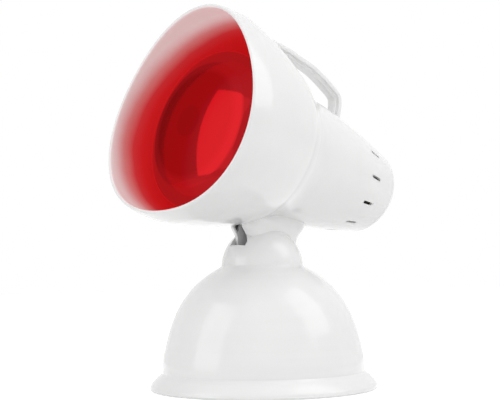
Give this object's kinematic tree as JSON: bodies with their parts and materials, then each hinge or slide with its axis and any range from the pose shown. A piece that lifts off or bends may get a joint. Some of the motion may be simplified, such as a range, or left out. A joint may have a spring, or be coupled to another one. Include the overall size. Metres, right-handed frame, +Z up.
{
  "type": "infrared heat therapy lamp",
  "caption": "Free-standing infrared heat lamp with a domed base, a tilting bell-shaped head with a red reflector bulb, and a carrying handle.",
  "frame": {"origin": "centre of the round base on the surface it stands on", "axes": "+Z up, the lamp faces -Y, +X across it along the tilt axis"},
  "size_m": [0.1334, 0.1799, 0.2207],
  "materials": {
    "white_plastic": "glossy moulded white",
    "steel": "zinc plated",
    "brass": "bare",
    "aluminium": "drawn cap",
    "cast_iron": "black lacquered",
    "rubber": "matte",
    "black_plastic": "satin",
    "nylon": "natural",
    "ceramic": "glazed steatite",
    "ruby_glass": "red coloured, blown",
    "tungsten": "dark wire",
    "lead_sleeve": "silicone sleeve"
  },
  "bodies": {
    "base": {"base_shell": "white_plastic", "base_plate": "white_plastic", "anti_slip_pad": "rubber", "ballast_weight": "cast_iron", "cord_grommet": "rubber", "terminal_block": "ceramic", "terminal_screw_1": "brass", "terminal_screw_2": "brass", "switch_body": "black_plastic", "tilt_bolt": "steel", "tilt_nut": "steel", "spring_washer": "steel", "friction_washer_left": "nylon", "friction_washer_right": "nylon", "base_lead": "lead_sleeve", "switch_lead": "lead_sleeve", "base_screw_1": "steel", "base_screw_2": "steel", "base_screw_3": "steel", "base_screw_4": "steel", "ballast_screw_1": "steel", "ballast_screw_2": "steel"},
    "head": {"spacer_sleeve": "steel", "head_lead": "lead_sleeve", "rear_housing": "white_plastic", "hood": "white_plastic", "carry_handle": "white_plastic", "handle_screw": "steel", "holder_plate": "steel", "lamp_holder": "ceramic", "holder_shell": "brass", "holder_contact": "brass", "bulb_glass": "ruby_glass", "bulb_cap": "aluminium", "bulb_insulator": "black_plastic", "bulb_contact": "aluminium", "bulb_stem": "ruby_glass", "bulb_filament": "tungsten", "holder_screw_1": "steel", "holder_screw_2": "steel", "hood_screw_1": "steel", "hood_screw_2": "steel", "hood_screw_3": "steel"},
    "rocker": {"switch_rocker": "black_plastic"}
  },
  "joints": [
    {"name": "head_tilt", "type": "hinge", "parent": "base", "child": "head", "pos_m": [0, 0, 0.0708], "axis": [-1, 0, 0], "range_deg": [-5, 25]},
    {"name": "switch_rock", "type": "hinge", "parent": "base", "child": "rocker", "pos_m": [0, 0.05523, 0.03798], "axis": [1, 0, 0], "range_deg": [0, 14]}
  ]
}
